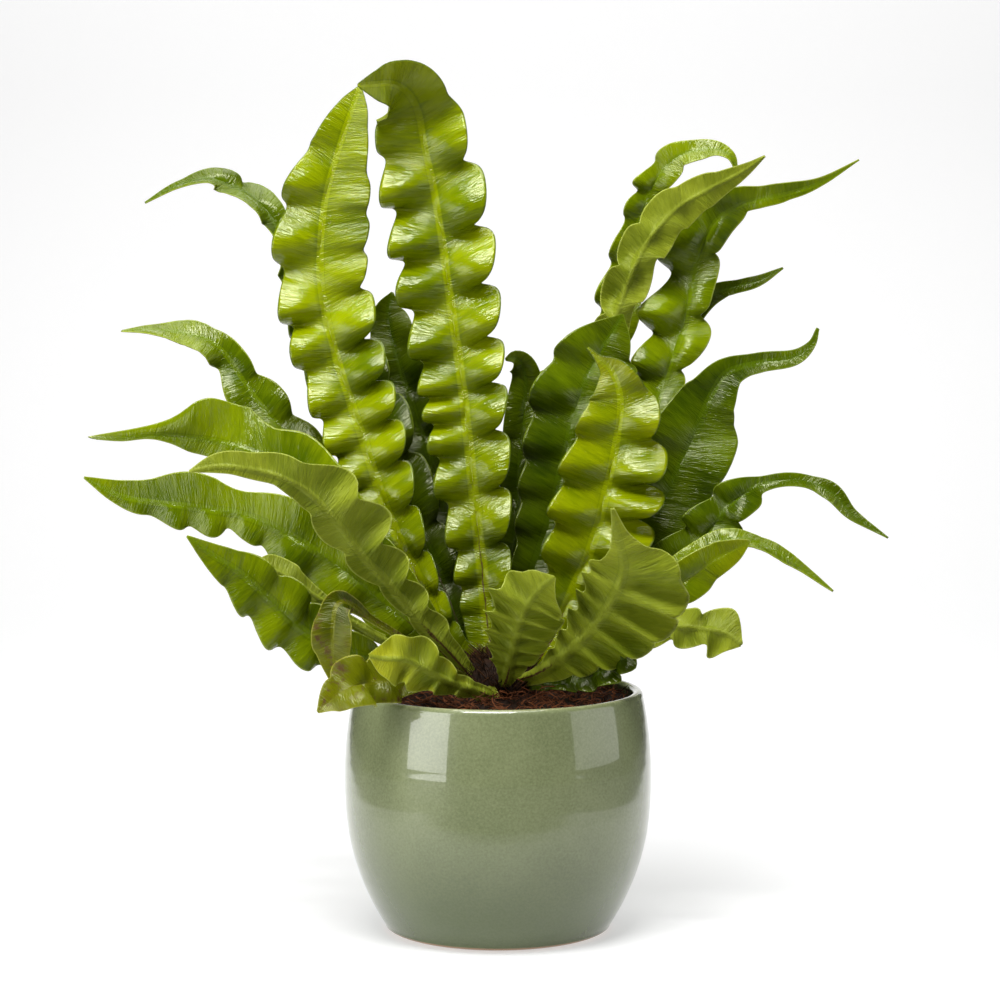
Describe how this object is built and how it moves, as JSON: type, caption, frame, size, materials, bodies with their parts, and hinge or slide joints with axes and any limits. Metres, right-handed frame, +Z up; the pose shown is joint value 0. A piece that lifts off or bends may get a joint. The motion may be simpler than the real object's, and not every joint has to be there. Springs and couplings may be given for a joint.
{
  "type": "potted bird's-nest fern",
  "caption": "Wavy-leaved bird's-nest fern: long rippled strap fronds spreading from a crown in a round glazed pot of coir.",
  "frame": {"origin": "centre of the flat foot that the pot stands on", "axes": "+Z up, the plant spreads widest along X, and its front looks along -Y"},
  "size_m": [0.4205, 0.2607, 0.4495],
  "materials": {
    "glaze": "glossy sage-green glaze, finely speckled, thinning to buff at the lip and foot",
    "coir": "matt red-brown coir fibre and crumbs",
    "crown": "dark brown papery scales and old stalk bases",
    "leaf_bright": "glossy young yellow-green blade with a pale rib",
    "leaf_green": "glossy mid-green blade with a pale rib",
    "leaf_dark": "glossy dark green mature blade",
    "leaf_pale": "blade that shows its satin grey-green underside",
    "leaf_yellow": "ageing yellow-green blade with brown blotches"
  },
  "bodies": {
    "root": {"crown": "crown", "growing_medium": "coir", "pot": "glaze", "frond_back_arch_left": "leaf_bright", "frond_back_arch_right": "leaf_bright", "frond_back_left": "leaf_dark", "frond_back_low": "leaf_dark", "frond_back_low_left": "leaf_green", "frond_back_low_right": "leaf_green", "frond_back_middle": "leaf_dark", "frond_back_right": "leaf_dark", "frond_back_tall_left": "leaf_green", "frond_back_tall_right": "leaf_green", "frond_bright_right": "leaf_bright", "frond_curl_right": "leaf_pale", "frond_dark_centre": "leaf_dark", "frond_front_centre": "leaf_pale", "frond_front_curl": "leaf_pale", "frond_front_left": "leaf_pale", "frond_front_right": "leaf_pale", "frond_left_arch": "leaf_dark", "frond_left_inner": "leaf_dark", "frond_left_low": "leaf_green", "frond_left_middle": "leaf_green", "frond_left_short": "leaf_pale", "frond_left_spotted": "leaf_yellow", "frond_left_twist": "leaf_green", "frond_left_upper": "leaf_green", "frond_loop_right": "leaf_dark", "frond_right_back": "leaf_dark", "frond_right_fork": "leaf_dark", "frond_right_high": "leaf_green", "frond_right_low": "leaf_pale", "frond_right_low_dark": "leaf_dark", "frond_right_thin": "leaf_green", "frond_right_wide": "leaf_dark", "frond_right_yellow": "leaf_yellow", "frond_rim_left": "leaf_yellow", "frond_tall_centre": "leaf_bright", "frond_tall_left": "leaf_bright", "frond_young_fist": "leaf_dark"}
  },
  "joints": []
}
